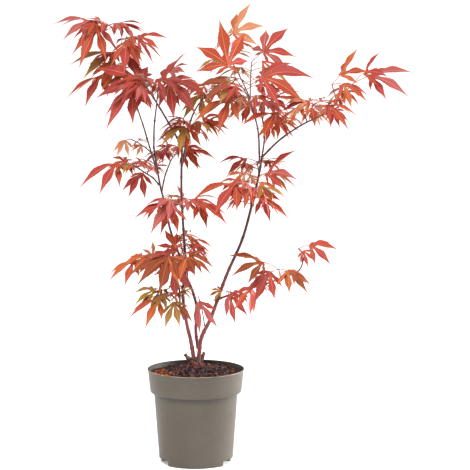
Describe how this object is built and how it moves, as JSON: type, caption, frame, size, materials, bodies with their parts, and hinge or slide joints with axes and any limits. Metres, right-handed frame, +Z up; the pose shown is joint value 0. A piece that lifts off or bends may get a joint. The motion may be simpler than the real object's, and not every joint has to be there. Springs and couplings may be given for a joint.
{
  "type": "potted japanese maple",
  "caption": "Young japanese maple with deeply cut red and orange leaves on slender branching stems, growing in a round tapered nursery pot.",
  "frame": {"origin": "centre of the pot's flat underside, on the ground", "axes": "+Z up; -Y towards the viewer of the picture; +X to that viewer's right"},
  "size_m": [0.5612, 0.3214, 0.7245],
  "materials": {
    "pot_plastic": "satin moulded grey-brown plastic",
    "compost": "moist, crumbly, with small chips of bark",
    "old_bark": "rough reddish-brown bark",
    "stem_bark": "smooth dark red bark",
    "bough_bark": "smooth red-brown young bark",
    "leaf_crimson": "thin crimson leaf blade with a soft sheen",
    "leaf_red": "thin red leaf blade with a soft sheen",
    "leaf_maroon": "thin maroon leaf blade with a soft sheen",
    "leaf_orange": "thin orange leaf blade with a soft sheen",
    "leaf_olive": "thin olive leaf blade with a soft sheen",
    "leaf_pink": "thin pink leaf blade with a soft sheen",
    "leaf_peach": "thin peach leaf blade with a soft sheen",
    "leaf_green": "thin green leaf blade with a soft sheen",
    "leaf_rust": "thin rust leaf blade with a soft sheen"
  },
  "bodies": {
    "root": {"pot": "pot_plastic", "soil": "compost", "root_crown": "old_bark", "stem_middle": "stem_bark", "stem_right": "stem_bark", "stem_left": "stem_bark", "stem_thin": "stem_bark", "bough_left_top": "bough_bark", "bough_centre_top": "bough_bark", "bough_left_side": "bough_bark", "bough_left_inner": "bough_bark", "bough_left_upper": "bough_bark", "bough_left_back": "bough_bark", "bough_right_upper": "bough_bark", "bough_right_top": "bough_bark", "bough_right_low": "bough_bark", "bough_rear_high": "bough_bark", "bough_rear_low": "bough_bark", "leaves_left_top_tip": "leaf_crimson", "leaves_left_top_upper": "leaf_red", "leaves_left_top_low": "leaf_crimson", "leaves_left_top_dark": "leaf_maroon", "leaves_left_top_orange": "leaf_orange", "leaves_left_top_back": "leaf_olive", "leaves_left_middle_top": "leaf_pink", "leaves_left_inner": "leaf_crimson", "leaves_centre_top": "leaf_red", "leaves_crown_left": "leaf_crimson", "leaves_crown_top": "leaf_peach", "leaves_crown_middle": "leaf_crimson", "leaves_crown_right": "leaf_crimson", "leaves_crown_low": "leaf_olive", "leaves_right_top_inner": "leaf_red", "leaves_right_top_pale": "leaf_peach", "leaves_right_top_tip": "leaf_orange", "leaves_right_top_far": "leaf_crimson", "leaves_right_top_low": "leaf_orange", "leaves_centre_middle": "leaf_red", "leaves_left_side_tip": "leaf_red", "leaves_left_side_middle": "leaf_crimson", "leaves_left_twig": "leaf_peach", "leaves_left_back": "leaf_crimson", "leaves_middle_left": "leaf_crimson", "leaves_middle_centre": "leaf_red", "leaves_middle_front": "leaf_crimson", "leaves_middle_right": "leaf_red", "leaves_right_side_upper": "leaf_peach", "leaves_right_side_low": "leaf_crimson", "leaves_rear_high": "leaf_crimson", "leaves_rear_high_side": "leaf_orange", "leaves_rear_low": "leaf_red", "leaves_low_left": "leaf_maroon", "leaves_low_left_far": "leaf_orange", "leaves_low_left_under": "leaf_green", "leaves_low_middle": "leaf_rust", "leaves_low_hanging": "leaf_pink", "leaves_low_right_tip": "leaf_crimson", "leaves_low_right_middle": "leaf_rust", "leaves_low_right_under": "leaf_crimson", "leaves_low_right_foot": "leaf_crimson"}
  },
  "joints": []
}
